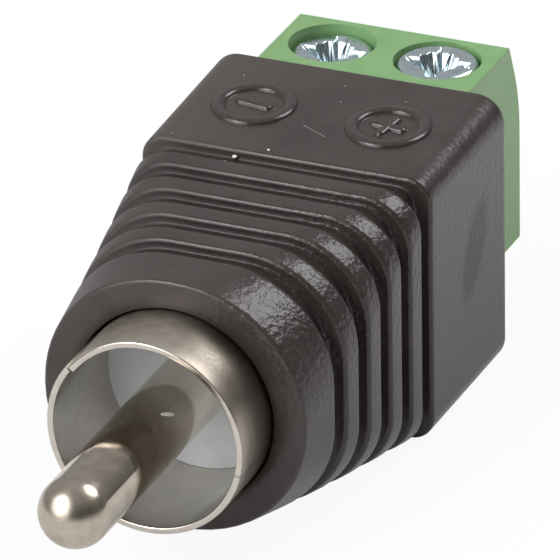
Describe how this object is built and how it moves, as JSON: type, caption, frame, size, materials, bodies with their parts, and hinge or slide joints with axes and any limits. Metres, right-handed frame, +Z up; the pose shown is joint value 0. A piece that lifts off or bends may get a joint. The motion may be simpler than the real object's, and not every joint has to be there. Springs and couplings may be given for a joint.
{
  "type": "rca plug",
  "caption": "Phono plug with a plated pin and shield ring in a ribbed black housing, and a green screw terminal block behind it that takes bare wires.",
  "frame": {"origin": "under the middle of the part, on the plane of the housing's flat underside", "axes": "+Z up, the way the screws face; -Y the way the plug points; X across the poles, plus side at +X"},
  "size_m": [0.014, 0.0394, 0.0132],
  "materials": {
    "black_plastic": "moulded, spark-eroded grain",
    "nickel_plate": "bright nickel plate on brass",
    "white_plastic": "moulded, smooth",
    "green_plastic": "moulded, satin",
    "tinned_brass": "tinned",
    "zinc_steel": "bright zinc plate"
  },
  "bodies": {
    "plug": {"housing": "black_plastic", "shield_ring": "nickel_plate", "insulator": "white_plastic", "centre_pin": "nickel_plate", "ground_tag": "tinned_brass", "signal_lead": "tinned_brass", "terminal_block": "green_plastic", "clamp_minus": "tinned_brass", "clamp_plus": "tinned_brass"},
    "plate_minus": {"plate_minus": "tinned_brass"},
    "plate_plus": {"plate_plus": "tinned_brass"},
    "screw_minus": {"screw_minus": "zinc_steel"},
    "screw_plus": {"screw_plus": "zinc_steel"}
  },
  "joints": [
    {"name": "plate_minus_lift", "type": "slide", "parent": "plug", "child": "plate_minus", "axis": [0, 0, 1], "range_m": [-0.00135, 0.00045]},
    {"name": "screw_minus_turn", "type": "hinge", "parent": "plate_minus", "child": "screw_minus", "pos_m": [-0.00254, 0.01617, 0.01], "axis": [0, 0, 1], "range_deg": [-1082, 362]},
    {"name": "plate_plus_lift", "type": "slide", "parent": "plug", "child": "plate_plus", "axis": [0, 0, 1], "range_m": [-0.00135, 0.00045]},
    {"name": "screw_plus_turn", "type": "hinge", "parent": "plate_plus", "child": "screw_plus", "pos_m": [0.00254, 0.01617, 0.01], "axis": [0, 0, 1], "range_deg": [-1082, 362]}
  ],
  "couplings": [
    {"joint": "screw_minus_turn", "follows": "plate_minus_lift", "rad_per_m": 13963},
    {"joint": "screw_plus_turn", "follows": "plate_plus_lift", "rad_per_m": 13963}
  ]
}
